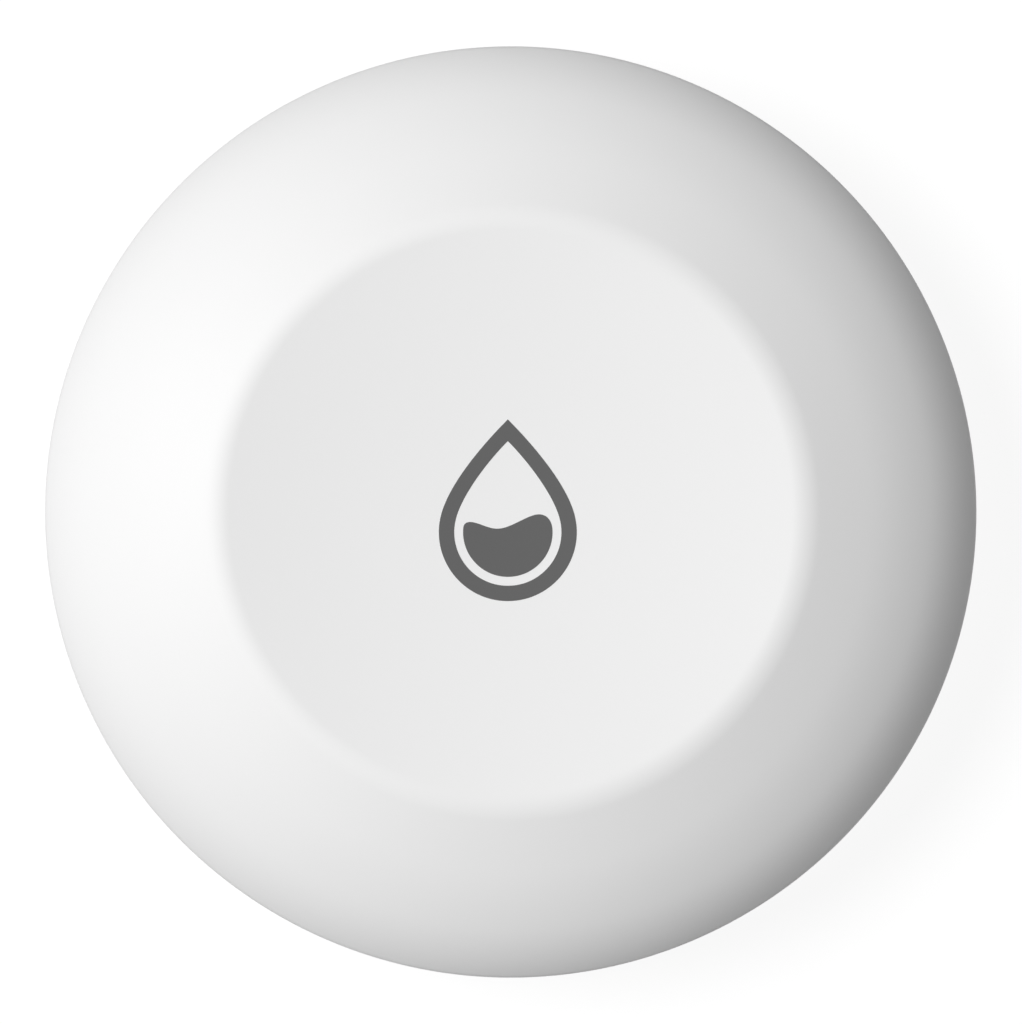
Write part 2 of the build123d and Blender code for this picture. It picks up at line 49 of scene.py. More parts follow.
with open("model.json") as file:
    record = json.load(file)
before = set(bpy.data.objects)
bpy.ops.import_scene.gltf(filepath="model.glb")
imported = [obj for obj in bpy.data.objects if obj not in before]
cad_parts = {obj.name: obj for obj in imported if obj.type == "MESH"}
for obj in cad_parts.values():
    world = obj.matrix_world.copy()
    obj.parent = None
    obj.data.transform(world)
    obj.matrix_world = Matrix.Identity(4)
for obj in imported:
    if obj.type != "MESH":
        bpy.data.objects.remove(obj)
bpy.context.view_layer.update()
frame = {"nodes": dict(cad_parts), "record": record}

MM = 0.001

# The upper case and its dish, as turned shapes: radius, then height
DISH_RADIUS = 15.05
DISH_Z = 14.159
DISH_EDGE_Z = 14.974
DISH_BALL = 139.35
DISH_EDGE_SLOPE = 6.2
# The sloping ring from the lip to the side: a radius and the downward slope reached there
RING = ((16.5, 20.9), (19.2, 23.0), (22.35, 34.7), (24.85, 60.5), (25.0, 90))
CASE_RADIUS = 25.0
SEAM_Z = 5.2
MEMBRANE = 0.8
LIP_LAP_RADIUS = 16.5
LIP_UNDER_Z = 14.174
LIP_GAP = 0.05
ROOT_RADIUS = 14.4
ROOT_Z = 13.374
COVER_WALL = 1.6
# The inner side of the sloping ring, from the side wall up to the lip
RING_INSIDE = ((22.9, 9.3), (22.3, 9.95), (21.44, 10.676), (18.575, 12.229),
               (LIP_LAP_RADIUS, 13.06))
SIDE_INSIDE_Z = 8.5
PAD_Z = 4.05
BOSS_RADIUS = 2.4
BOSS_TOP_Z = 12.9
SCREW_HOLE_RADIUS = 1.03
SCREW_HOLE_TOP_Z = 8.85
# How far outer corners, fine corners and the chamfers of pockets are taken off
EDGE = 0.12
FINE_EDGE = 0.08
POCKET_EDGE = 0.15

# The lower case
BASE_Z = 0.8
FLAT_RADIUS = 21.0
BOWL_RUN = 4.0
BOWL_RISE_SHARE = 1.1
FIXING_CIRCLE = 17.6
FOOT_ANGLES = (90, 210, 330)
POST_ANGLES = (30, 150, 270)
PROBE_ANGLES = (63, 117)
BAY_RADIUS = 12.4
COUNTERBORE_RADIUS = 13.6
COLLAR_RADIUS = 13.9
COLLAR_Z = 5.549
FLOOR_Z = 2.8
BOARD_Z = 9.299
TONGUE_RADIUS = 23.3
TONGUE_INNER = 22.1
TONGUE_Z = 6.8
TONGUE_EDGE = 0.2
SEAM_EDGE = 0.1
SEAL_GROOVE_RADIUS = 22.64
SEAL_GROOVE_LOW_Z = 5.62
SEAL_GROOVE_TOP_Z = 6.38
FLANGE_Z = 1.7
FOOT_SEAT_Z = 1.4
# Turned hollows and posts of the lower case: each corner's radius from its own axis, and height
FOOT_POCKET = ((2.75, BASE_Z), (2.6, BASE_Z + POCKET_EDGE), (2.6, FOOT_SEAT_Z), (1.9, FOOT_SEAT_Z),
               (1.9, 2.55), (1.1, 2.55), (1.1, PAD_Z), (3.2, PAD_Z), (3.2, FLOOR_Z))
PROBE_POCKET = ((2.15, BASE_Z), (2.0, BASE_Z + POCKET_EDGE), (2.0, 1.5), (1.7, 1.5), (1.7, 2.15),
                (1.1, 2.15), (1.1, FLOOR_Z))
BOARD_POST = ((2.0, FLOOR_Z), (2.0, BOARD_Z), (0.93, BOARD_Z), (0.93, 4.5), (0, 4.5))

# The marks for closed and open: a triangle on the hatch, and a dot and a ring on the case
MARK_ANGLE = -90
OPEN_MARK_TURN = -16
MARK_CIRCLE = 15.1
ARROW_CIRCLE = 11.8
MARK_DEPTH = 0.2
CLOSED_MARK = ((0.5, BASE_Z), (0.45, BASE_Z + MARK_DEPTH), (0, BASE_Z + MARK_DEPTH))
OPEN_MARK = ((0.55, BASE_Z), (0.52, BASE_Z + MARK_DEPTH), (0.33, BASE_Z + MARK_DEPTH),
             (0.3, BASE_Z))
ARROW_MARK = ((0.95, BASE_Z), (0.88, BASE_Z + 0.3), (0, BASE_Z + 0.3))

# The hatch, its coin slot, and the thread pieces that hold it
HATCH_EDGE = 0.25
HATCH_RADIUS = 13.4
HATCH = ((HATCH_RADIUS - HATCH_EDGE, BASE_Z), (HATCH_RADIUS, BASE_Z + HATCH_EDGE),
         (HATCH_RADIUS, FLANGE_Z), (12.1, FLANGE_Z), (12.1, 1.95), (11.6, 1.95), (11.6, 2.75),
         (12.1, 2.75), (12.1, 3.0), (10.3, 3.0), (10.3, 5.249), (9.0, 5.249), (9.0, 2.6), (0, 2.6))
HATCH_SOFT_CORNERS = (8, 10, 11)
COIN_SLOT_END = ((1.12, BASE_Z), (1.0, BASE_Z + EDGE), (1.0, 1.62), (0.8, 1.8), (0, 1.8))
COIN_SLOT_STEPS = 32
COIN_SLOT_REACH = 8
THREAD_LEAD = 6.0
LUG_ANGLES = (0, 120, 240)
# Inner and outer radius, underside, thickness and angle of each thread piece
LEDGE = (10.6, 12.9, 3.368, 0.7, 24)
LUG = (9.65, 12.1, 4.221, 0.7, 20)

# One rubber foot, with its dimple
FOOT = ((0, 0.1), (0.95, 0.1), (1.05, 0), (2.5, 0), (2.5, FOOT_SEAT_Z), (0, FOOT_SEAT_Z))
FOOT_EDGE = 0.4

# The snap dome of the switch
DOME_RADIUS = 1.7
DOME_METAL = 0.08

# How finely round things are drawn, in steps
ROUND_STEPS = 256
HATCH_STEPS = 192
FOOT_STEPS = 64
POCKET_STEPS = 48
MARK_STEPS = 32
RING_ARC_STEPS = 20
DISH_ARC_STEPS = 40
BOWL_ARC_STEPS = 24
DOME_ARC_STEPS = 12
THREAD_STEPS = 12
CREASE_ANGLE = 40
# How near points have to be to be merged, and to count as on a plane or an axis
MERGE = 1e-5
NEAR = 1e-4


# Drawing

def runs(mesh, corners):
    """A chain of straight runs through corners, each a radius and a height."""
    verts = [mesh.verts.new((radius, 0, height)) for radius, height in corners]
    for one, other in zip(verts, verts[1:]):
        mesh.edges.new((one, other))
    return verts


def soften(mesh, verts, reach):
    """Rounds corners of a chain."""
    bmesh.ops.bevel(mesh, geom=verts, offset=reach, offset_type="OFFSET", segments=3,
                    profile=0.5, affect="VERTICES", material=-1)


def arc_on(mesh, vert, slope, next_slope, next_radius, steps):
    """Carries a chain on by an arc that leaves at one downward slope and ends at another."""
    bend = (next_radius - vert.co.x) / (sin(radians(next_slope)) - sin(radians(slope)))
    centre = vert.co - bend * Vector((sin(radians(slope)), 0, cos(radians(slope))))
    swept = bmesh.ops.spin(mesh, geom=[vert], cent=centre, axis=(0, 1, 0),
                           angle=radians(next_slope - slope), steps=steps)
    return [part for part in swept["geom_last"] if isinstance(part, bmesh.types.BMVert)][0]


def turn(mesh, steps=ROUND_STEPS):
    """Turns a chain once round the upright axis and closes the result."""
    bmesh.ops.spin(mesh, geom=mesh.verts[:] + mesh.edges[:], cent=(0, 0, 0), axis=(0, 0, 1),
                   angle=2 * pi, steps=steps, use_merge=True)
    bmesh.ops.remove_doubles(mesh, verts=mesh.verts[:], dist=MERGE)


def add(mesh, part):
    """Joins one drawing to another."""
    data = bpy.data.meshes.new("part")
    part.to_mesh(data)
    part.free()
    mesh.from_mesh(data)
    bpy.data.meshes.remove(data)


def turned(corners, softened=(), reach=EDGE, steps=POCKET_STEPS, radius=0, angle=0, start=0):
    """A turned band through corners, its axis on a circle round the middle of the case.

    softened holds the numbers of the corners that are rounded, and start turns the first side.
    """
    part = bmesh.new()
    verts = runs(part, corners)
    if softened:
        soften(part, [verts[index] for index in softened], reach)
    turn(part, steps)
    bmesh.ops.rotate(part, verts=part.verts[:], matrix=Matrix.Rotation(radians(start), 3, "Z"))
    bmesh.ops.translate(part, verts=part.verts[:], vec=(radius, 0, 0))
    bmesh.ops.rotate(part, verts=part.verts[:], matrix=Matrix.Rotation(radians(angle), 3, "Z"))
    return part


def floor_between(mesh, height):
    """Fills the flat face that runs between all the open rims at one height."""
    rims = [edge for edge in mesh.edges if len(edge.link_faces) == 1
            and all(abs(vert.co.z - height) < NEAR for vert in edge.verts)]
    bmesh.ops.triangle_fill(mesh, use_beauty=True, use_dissolve=False, edges=rims)


def thread_piece(inner, outer, low_z, thickness, angle, middle):
    """A block on a short stretch of the hatch's thread, with softened edges."""
    climb = THREAD_LEAD * angle / 360
    part = bmesh.new()
    top_z = low_z + thickness
    verts = [part.verts.new((radius, 0, height)) for radius, height
             in ((inner, low_z), (outer, low_z), (outer, top_z), (inner, top_z))]
    face = part.faces.new(verts)
    bmesh.ops.spin(part, geom=[face], cent=(0, 0, 0), axis=(0, 0, 1), angle=radians(angle),
                   dvec=(0, 0, climb / THREAD_STEPS), steps=THREAD_STEPS, use_duplicate=False)
    bmesh.ops.remove_doubles(part, verts=part.verts[:], dist=MERGE)
    bmesh.ops.translate(part, verts=part.verts[:], vec=(0, 0, -climb / 2))
    bmesh.ops.rotate(part, verts=part.verts[:],
                     matrix=Matrix.Rotation(radians(middle - angle / 2), 3, "Z"))
    bmesh.ops.recalc_face_normals(part, faces=part.faces[:])
    sharp = [edge for edge in part.edges if edge.calc_face_angle(0) > radians(CREASE_ANGLE)]
    bmesh.ops.bevel(part, geom=sharp, offset=FINE_EDGE, offset_type="OFFSET", segments=2,
                    profile=0.5, affect="EDGES", material=-1)
    return part


def finish_piece(name, mesh, material, slot=None, outwards=True):
    """Makes an object of a drawing, in metres, with smooth faces between its sharp edges.

    slot, the record's name for the finish, is not used.
    """
    if outwards:
        bmesh.ops.recalc_face_normals(mesh, faces=mesh.faces[:])
    bmesh.ops.scale(mesh, vec=(MM, MM, MM), verts=mesh.verts[:])
    data = bpy.data.meshes.new(name)
    mesh.to_mesh(data)
    mesh.free()
    data.shade_smooth()
    data.set_sharp_from_angle(angle=radians(CREASE_ANGLE))
    piece = bpy.data.objects.new(name, data)
    bpy.context.scene.collection.objects.link(piece)
    data.materials.append(material)
    return piece if slot else piece


# Finishes

def start_finish(name):
    """An empty material with its shader and output."""
    material = bpy.data.materials.new(name)
    material.use_nodes = True
    tree = material.node_tree
    tree.nodes.clear()
    shader = tree.nodes.new("ShaderNodeBsdfPrincipled")
    output = tree.nodes.new("ShaderNodeOutputMaterial")
    tree.links.new(shader.outputs["BSDF"], output.inputs["Surface"])
    place = tree.nodes.new("ShaderNodeTexCoord")
    return material, tree, shader, place


def speckle(tree, place, size, detail=2.0, stretch=None):
    """Noise of a stated grain size in millimetres, drawn out along an axis if wanted."""
    noise = tree.nodes.new("ShaderNodeTexNoise")
    noise.inputs["Scale"].default_value = 1 / (size * MM)
    noise.inputs["Detail"].default_value = detail
    source = place.outputs["Object"]
    if stretch:
        mapping = tree.nodes.new("ShaderNodeMapping")
        mapping.inputs["Scale"].default_value = stretch
        tree.links.new(source, mapping.inputs["Vector"])
        source = mapping.outputs["Vector"]
    tree.links.new(source, noise.inputs["Vector"])
    return noise.outputs["Fac"]


def cells(tree, where, size, randomness=1.0, feature="F1"):
    """A pattern of uneven cells of a stated size in millimetres."""
    pattern = tree.nodes.new("ShaderNodeTexVoronoi")
    pattern.feature = feature
    pattern.inputs["Scale"].default_value = 1 / (size * MM)
    pattern.inputs["Randomness"].default_value = randomness
    tree.links.new(where, pattern.inputs["Vector"])
    return pattern


def spread(tree, value, low, high):
    """Brings a 0 to 1 value to another range."""
    remap = tree.nodes.new("ShaderNodeMapRange")
    remap.inputs["To Min"].default_value = low
    remap.inputs["To Max"].default_value = high
    tree.links.new(value, remap.inputs["Value"])
    return remap.outputs["Result"]


def tint(tree, value, dark, light):
    """A colour that drifts between two, where the first may itself be worked out."""
    mix = tree.nodes.new("ShaderNodeMix")
    mix.data_type = "RGBA"
    if isinstance(dark, tuple):
        mix.inputs["A"].default_value = (*dark, 1)
    else:
        tree.links.new(dark, mix.inputs["A"])
    mix.inputs["B"].default_value = (*light, 1)
    tree.links.new(value, mix.inputs["Factor"])
    return mix.outputs["Result"]


def band(tree, value, low, high):
    """Nought up to one value and one from another, with a soft step between them."""
    step = tree.nodes.new("ShaderNodeMapRange")
    step.inputs["From Min"].default_value = low
    step.inputs["From Max"].default_value = high
    tree.links.new(value, step.inputs["Value"])
    return step.outputs["Result"]


def toned(colour, share):
    """A colour made darker or lighter by a share."""
    return tuple(channel * share for channel in colour)


def relief(tree, shader, value, depth):
    """Raises a value as fine relief, its depth in millimetres."""
    bump = tree.nodes.new("ShaderNodeBump")
    bump.inputs["Distance"].default_value = depth * MM
    tree.links.new(value, bump.inputs["Height"])
    tree.links.new(bump.outputs["Normal"], shader.inputs["Normal"])


def arithmetic(tree, kind, one, other):
    """One step of arithmetic between two values, or a value and a number."""
    step = tree.nodes.new("ShaderNodeMath")
    step.operation = kind
    for socket, value in zip(step.inputs, (one, other)):
        if isinstance(value, (int, float)):
            socket.default_value = value
        else:
            tree.links.new(value, socket)
    return step.outputs["Value"]


def out_from(tree, place, centres):
    """How far a point is from the nearest of a few upright axes, in metres."""
    nearest = None
    for x, y in centres:
        shift = tree.nodes.new("ShaderNodeMapping")
        shift.inputs["Location"].default_value = (-x * MM, -y * MM, 0)
        tree.links.new(place.outputs["Object"], shift.inputs["Vector"])
        flat = tree.nodes.new("ShaderNodeVectorMath")
        flat.operation = "MULTIPLY"
        flat.inputs[1].default_value = (1, 1, 0)
        tree.links.new(shift.outputs["Vector"], flat.inputs[0])
        reach = tree.nodes.new("ShaderNodeVectorMath")
        reach.operation = "LENGTH"
        tree.links.new(flat.outputs["Vector"], reach.inputs[0])
        value = reach.outputs["Value"]
        nearest = value if nearest is None else arithmetic(tree, "MINIMUM", nearest, value)
    return nearest


def on_circle(angles):
    """The places of pieces on the fixing circle."""
    return [(FIXING_CIRCLE * cos(radians(angle)), FIXING_CIRCLE * sin(radians(angle)))
            for angle in angles]


def turned_metal(name, colour, roughness, centres, pitch=0.12, depth=0.002, drift=0.08):
    """Metal with the fine rings that a lathe or a press tool leaves about each axis."""
    material, tree, shader, place = start_finish(name)
    rings = tree.nodes.new("ShaderNodeTexNoise")
    rings.noise_dimensions = "1D"
    rings.inputs["Scale"].default_value = 1 / (pitch * MM)
    rings.inputs["Detail"].default_value = 3.0
    tree.links.new(out_from(tree, place, centres), rings.inputs["W"])
    smudges = speckle(tree, place, 1.7)
    tree.links.new(tint(tree, smudges, toned(colour, 1 - drift), colour),
                   shader.inputs["Base Color"])
    tree.links.new(spread(tree, rings.outputs["Fac"], roughness * 0.75, roughness * 1.25),
                   shader.inputs["Roughness"])
    relief(tree, shader, rings.outputs["Fac"], depth)
    shader.inputs["Metallic"].default_value = 1.0
    return material


def rolled_metal(name, colour, roughness, grain=0.25, drift=0.1):
    """Sheet or strip with fine rolling lines and a few dull smudges."""
    material, tree, shader, place = start_finish(name)
    lines = speckle(tree, place, grain, detail=3.0, stretch=(0.08, 1, 1))
    smudges = speckle(tree, place, 2.5, detail=3.0)
    tree.links.new(tint(tree, smudges, toned(colour, 1 - drift), colour),
                   shader.inputs["Base Color"])
    tree.links.new(spread(tree, lines, roughness * 0.7, roughness * 1.3),
                   shader.inputs["Roughness"])
    relief(tree, shader, lines, 0.0015)
    shader.inputs["Metallic"].default_value = 1.0
    return material


def moulded_plastic(name, colour, roughness=0.55, drift=0.006, grain=0.16, depth=0.0012):
    """Matt moulded plastic: a spark-eroded grain and a faint drift of tone."""
    material, tree, shader, place = start_finish(name)
    clouds = speckle(tree, place, 9.0)
    tree.links.new(tint(tree, clouds, toned(colour, 1 - drift), toned(colour, 1 + drift)),
                   shader.inputs["Base Color"])
    fine = speckle(tree, place, grain, detail=3.0)
    tree.links.new(spread(tree, fine, roughness - 0.04, roughness + 0.04),
                   shader.inputs["Roughness"])
    relief(tree, shader, fine, depth)
    shader.inputs["IOR"].default_value = 1.46
    return material


def solder_mask():
    """The green coat of the board over its fields of copper and the gaps, with bare vias."""
    material, tree, shader, place = start_finish("green solder mask")
    fields = cells(tree, place.outputs["Object"], 2.6, 0.7, "DISTANCE_TO_EDGE")
    copper = band(tree, fields.outputs["Distance"], 0.03, 0.06)
    coat = tint(tree, copper, (0.006, 0.060, 0.022), (0.012, 0.125, 0.042))
    flat = tree.nodes.new("ShaderNodeMapping")
    flat.inputs["Scale"].default_value = (1, 1, 0)
    tree.links.new(place.outputs["Object"], flat.inputs["Vector"])
    dots = cells(tree, flat.outputs["Vector"], 1.9, 0.85)
    vias = band(tree, dots.outputs["Distance"], 0.13, 0.10)
    tree.links.new(tint(tree, vias, coat, (0.62, 0.50, 0.26)), shader.inputs["Base Color"])
    tree.links.new(spread(tree, vias, 0.32, 0.25), shader.inputs["Roughness"])
    relief(tree, shader, copper, 0.02)
    return material


def striped_capacitor():
    """Moulded yellow with the brown bar that marks one end."""
    material, tree, shader, place = start_finish("yellow moulded capacitor")
    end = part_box("bulk_capacitor")[1][1]
    along = tree.nodes.new("ShaderNodeSeparateXYZ")
    tree.links.new(place.outputs["Object"], along.inputs["Vector"])
    bar = band(tree, along.outputs["Y"], end - 1.52 * MM, end - 1.48 * MM)
    grain = speckle(tree, place, 0.2, detail=3.0)
    yellow = tint(tree, grain, (0.56, 0.27, 0.016), (0.64, 0.33, 0.024))
    tree.links.new(tint(tree, bar, yellow, (0.10, 0.035, 0.012)), shader.inputs["Base Color"])
    tree.links.new(spread(tree, grain, 0.42, 0.5), shader.inputs["Roughness"])
    relief(tree, shader, grain, 0.003)
    return material


def tinned_sheet():
    """Tin-plated sheet with the faint patches that its crystals leave."""
    material, tree, shader, place = start_finish("tinned sheet")
    patches = cells(tree, place.outputs["Object"], 0.9)
    shade = tree.nodes.new("ShaderNodeSeparateColor")
    tree.links.new(patches.outputs["Color"], shade.inputs["Color"])
    tree.links.new(tint(tree, shade.outputs["Red"], (0.55, 0.55, 0.56), (0.64, 0.64, 0.65)),
                   shader.inputs["Base Color"])
    tree.links.new(spread(tree, shade.outputs["Green"], 0.24, 0.38), shader.inputs["Roughness"])
    relief(tree, shader, speckle(tree, place, 0.3, detail=3.0), 0.002)
    shader.inputs["Metallic"].default_value = 1.0
    return material


def clear_lamp():
    """The lamp's clear casting over its phosphor."""
    material, tree, shader, place = start_finish("lamp casting")
    clouds = speckle(tree, place, 0.5)
    tree.links.new(tint(tree, clouds, (0.80, 0.74, 0.50), (0.86, 0.84, 0.72)),
                   shader.inputs["Base Color"])
    tree.links.new(spread(tree, clouds, 0.12, 0.2), shader.inputs["Roughness"])
    shader.inputs["Coat Weight"].default_value = 0.6
    shader.inputs["Coat Roughness"].default_value = 0.05
    return material


WHITE = (0.84, 0.84, 0.84)
white_case = moulded_plastic("white moulded case", WHITE)
white_dish = moulded_plastic("white moulded dish", WHITE)
grey_inlay = moulded_plastic("grey moulded inlay", (0.105, 0.105, 0.105), roughness=0.62,
                             drift=0.02)
grey_inlay.node_tree.nodes["Principled BSDF"].inputs["Specular IOR Level"].default_value = 0.3
# The one axis of what is turned about the middle of the case
MIDDLE = ((0, 0),)

# What the pieces that keep their drawn shape are made of, by the record's slots
finishes = {
    "milky_plate": moulded_plastic("milky moulded plate", (0.74, 0.74, 0.70), roughness=0.4,
                                   drift=0.02),
    "seal_rubber": moulded_plastic("orange silicone", (0.58, 0.12, 0.03), roughness=0.42,
                                   drift=0.08, grain=0.4, depth=0.002),
    "zinc_screw": turned_metal("bright zinc", (0.60, 0.60, 0.62), 0.26,
                               on_circle(FOOT_ANGLES + POST_ANGLES)),
    "cell_steel": turned_metal("nickelled cell steel", (0.60, 0.60, 0.60), 0.24, MIDDLE, pitch=0.3,
                               depth=0.003),
    "cell_gasket": moulded_plastic("dark cell gasket", (0.04, 0.04, 0.045), roughness=0.45,
                                   drift=0.1),
    "cell_filling": moulded_plastic("pressed black powder", (0.012, 0.012, 0.012), roughness=0.85,
                                    drift=0.3, grain=0.12, depth=0.01),
    "cell_anode": rolled_metal("dull soft metal", (0.40, 0.40, 0.40), 0.5, grain=0.4, drift=0.25),
    "cradle_plastic": moulded_plastic("black moulded cradle", (0.022, 0.022, 0.025), roughness=0.5,
                                      drift=0.1, depth=0.003),
    "contact_nickel": rolled_metal("nickelled spring strip", (0.62, 0.57, 0.47), 0.25),
    "board_green": solder_mask(),
    "black_plastic": moulded_plastic("black moulded resin", (0.012, 0.012, 0.013), roughness=0.55,
                                     drift=0.15, grain=0.08, depth=0.003),
    "shield_steel": tinned_sheet(),
    "lamp_white": clear_lamp(),
    "capacitor_yellow": striped_capacitor(),
    "chip_ceramic": moulded_plastic("tan ceramic", (0.22, 0.14, 0.08), roughness=0.5, drift=0.2,
                                    grain=0.2),
    "probe_steel": turned_metal("polished stainless", (0.66, 0.66, 0.66), 0.16,
                                on_circle(PROBE_ANGLES), pitch=0.09, depth=0.0015, drift=0.04),
    "sleeve_brass": turned_metal("turned brass", (0.58, 0.36, 0.08), 0.28, on_circle(PROBE_ANGLES)),
}


def dress_nodes():
    """Gives every node that keeps its drawn shape its finish."""
    slots = {part["node"]: part["material_slot"] for part in frame["record"]["subparts"]}
    for name, node in frame["nodes"].items():
        if slots[name] in finishes:
            node.data.materials.clear()
            node.data.materials.append(finishes[slots[name]])


dress_nodes()


# The upper case

def upper_case():
    """The sloping ring and side, its lip over the dish, and its inside."""
    mesh = bmesh.new()
    lip = mesh.verts.new((DISH_RADIUS, 0, DISH_EDGE_Z))
    side, slope = lip, -DISH_EDGE_SLOPE
    for radius, next_slope in RING:
        side = arc_on(mesh, side, slope, next_slope, radius, RING_ARC_STEPS)
        slope = next_slope
    wall = CASE_RADIUS - COVER_WALL
    inside = runs(mesh, ((CASE_RADIUS, SEAM_Z), (wall, SEAM_Z), (wall, SIDE_INSIDE_Z), *RING_INSIDE,
                         (LIP_LAP_RADIUS, LIP_UNDER_Z), (DISH_RADIUS + LIP_GAP, LIP_UNDER_Z),
                         (DISH_RADIUS, DISH_EDGE_Z)))
    mesh.edges.new((side, inside[0]))
    soften(mesh, [inside[0]], EDGE)
    bmesh.ops.remove_doubles(mesh, verts=mesh.verts[:], dist=MERGE)
    turn(mesh)
    boss = ((0, SCREW_HOLE_TOP_Z), (SCREW_HOLE_RADIUS, SCREW_HOLE_TOP_Z),
            (SCREW_HOLE_RADIUS, PAD_Z), (BOSS_RADIUS, PAD_Z), (BOSS_RADIUS, BOSS_TOP_Z),
            (0, BOSS_TOP_Z))
    for angle in FOOT_ANGLES:
        add(mesh, turned(boss, radius=FIXING_CIRCLE, angle=angle))
    return finish_piece("cover", mesh, white_case, "white_case")


def dish_height(place):
    """The height of the dish's upper face over a place."""
    return DISH_Z + DISH_BALL - sqrt(DISH_BALL ** 2 - place.x ** 2 - place.y ** 2)


def dish():
    """The thin flexing dish, struck from one large ball."""
    mesh = bmesh.new()
    rims = []
    for inset, depth in ((0, 0), (LIP_GAP, MEMBRANE)):
        rim = mesh.verts.new((DISH_RADIUS - inset, 0, DISH_EDGE_Z - depth))
        middle = arc_on(mesh, rim, -DISH_EDGE_SLOPE, 0, 0, DISH_ARC_STEPS)
        middle.co = (0, 0, DISH_Z - depth)
        rims.append(rim)
    mesh.edges.new(rims)
    turn(mesh)
    return finish_piece("dish", mesh, white_dish, "white_membrane")


def dish_root():
    """The thicker ring of the dish that is bonded under the lip of the case."""
    mesh = turned(((ROOT_RADIUS, ROOT_Z), (LIP_LAP_RADIUS, ROOT_Z), (LIP_LAP_RADIUS, LIP_UNDER_Z),
                   (ROOT_RADIUS, LIP_UNDER_Z), (ROOT_RADIUS, ROOT_Z)), steps=HATCH_STEPS)
    return finish_piece("dish-root", mesh, white_dish, "white_membrane")


cover = upper_case()
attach(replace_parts(cover, "top_cover"), "case")
dish_piece = dish()
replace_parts(dish_piece, "press_membrane")
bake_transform(dish_piece)
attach(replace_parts(dish_root(), "press_membrane"), "case")


# The grey inlays of the dish

DROP_PLACE = Vector((-0.16, -1.075, 0))
DROP_RADIUS = 3.68
DROP_STROKE = 0.82
DROP_TIP = 6.017
DROP_TIP_ANGLE = 45
DROP_TIP_PULL_SHARE = 0.55
DROP_JOIN_ANGLE = 15
DROP_JOIN_PULL_SHARE = 0.45
WATER_RADIUS = 2.387
# Each knot of the water's outline with the handles before and after it, as shares of its radius
WATER_SHARES = (
    ((-0.9945, 0.1045), (-1.0565, -0.4859), (-0.9843, 0.2016)),
    ((-0.8435, 0.2274), (-0.9055, 0.2274), (-0.6601, 0.2274)),
    ((-0.2277, 0.0783), (-0.4633, 0.0783), (0.063, 0.0783)),
    ((0.6957, 0.399), (0.4519, 0.399), (0.897, 0.399)),
    ((0.9977, 0.0679), (0.987, 0.2249), (1.037, -0.5098)),
    ((0, -1), (0.579, -1), (-0.5936, -1)),
)
INLAY_PROUD = 0.012
INLAY_DEPTH = 0.2
# The inlays are cut into cells, so that they follow the dish
INLAY_CELL = 0.7
INLAY_CELLS = 9


def drop_loop(curve, inset):
    """One closed outline of the drop, moved inwards by an inset."""
    radius = DROP_RADIUS - inset
    lean, join = radians(DROP_TIP_ANGLE), radians(DROP_JOIN_ANGLE)
    tip = Vector((0, DROP_TIP - inset / sin(lean), 0))
    slant = Vector((sin(lean), -cos(lean), 0)) * radius * DROP_TIP_PULL_SHARE
    side = Vector((cos(join), sin(join), 0)) * radius
    rise = Vector((-sin(join), cos(join), 0)) * radius
    straight_pull = rise * DROP_JOIN_PULL_SHARE
    flip = Vector((-1, 1, 1))
    round_pull = 4 / 3 * tan((pi / 2 + join) / 4)
    bottom = Vector((0, -radius, 0))
    knots = ((tip, tip + slant * flip, tip + slant),
             (side, side + straight_pull, side - rise * round_pull),
             (bottom, bottom + Vector((radius * round_pull, 0, 0)),
              bottom - Vector((radius * round_pull, 0, 0))),
             (side * flip, (side - rise * round_pull) * flip, (side + straight_pull) * flip))
    closed_loop(curve, knots)


def closed_loop(curve, knots):
    """A closed outline through knots, each with the handles before and after it."""
    loop = curve.splines.new("BEZIER")
    loop.bezier_points.add(len(knots) - 1)
    for point, (place, before, after) in zip(loop.bezier_points, knots):
        point.handle_left_type = point.handle_right_type = "FREE"
        point.co, point.handle_left, point.handle_right = place, before, after
    loop.use_cyclic_u = True


def water_loop(curve):
    """The outline of the water: a round belly under a wavy top."""
    closed_loop(curve, [[Vector((x, y, 0)) * WATER_RADIUS for x, y in knot]
                        for knot in WATER_SHARES])


def inlay(name, draw):
    """A flat outline made a thin piece and laid on the dish, a hair proud of it."""
    curve = bpy.data.curves.new(name + " outline", "CURVE")
    curve.dimensions = "2D"
    curve.fill_mode = "BOTH"
    curve.resolution_u = 32
    draw(curve)
    drawn = bpy.data.objects.new(name + " outline", curve)
    flat = bpy.data.meshes.new_from_object(drawn)
    bpy.data.objects.remove(drawn)
    mesh = bmesh.new()
    mesh.from_mesh(flat)
    bpy.data.meshes.remove(flat)
    bmesh.ops.remove_doubles(mesh, verts=mesh.verts[:], dist=MERGE)
    for axis in (Vector((1, 0, 0)), Vector((0, 1, 0))):
        for step in range(-INLAY_CELLS, INLAY_CELLS + 1):
            bmesh.ops.bisect_plane(mesh, geom=mesh.verts[:] + mesh.edges[:] + mesh.faces[:],
                                   plane_co=axis * step * INLAY_CELL, plane_no=axis, dist=1e-6)
    bmesh.ops.translate(mesh, verts=mesh.verts[:], vec=DROP_PLACE)
    bmesh.ops.recalc_face_normals(mesh, faces=mesh.faces[:])
    if mesh.faces[:][0].normal.z < 0:
        bmesh.ops.reverse_faces(mesh, faces=mesh.faces[:])
    raised = bmesh.ops.extrude_face_region(mesh, geom=mesh.faces[:], use_keep_orig=True)["geom"]
    lower_verts = [vert for vert in mesh.verts if vert not in raised]
    for vert in mesh.verts:
        vert.co.z = dish_height(vert.co) + INLAY_PROUD
    bmesh.ops.translate(mesh, verts=lower_verts, vec=(0, 0, -INLAY_DEPTH))
    return finish_piece(name, mesh, grey_inlay, "grey_print")


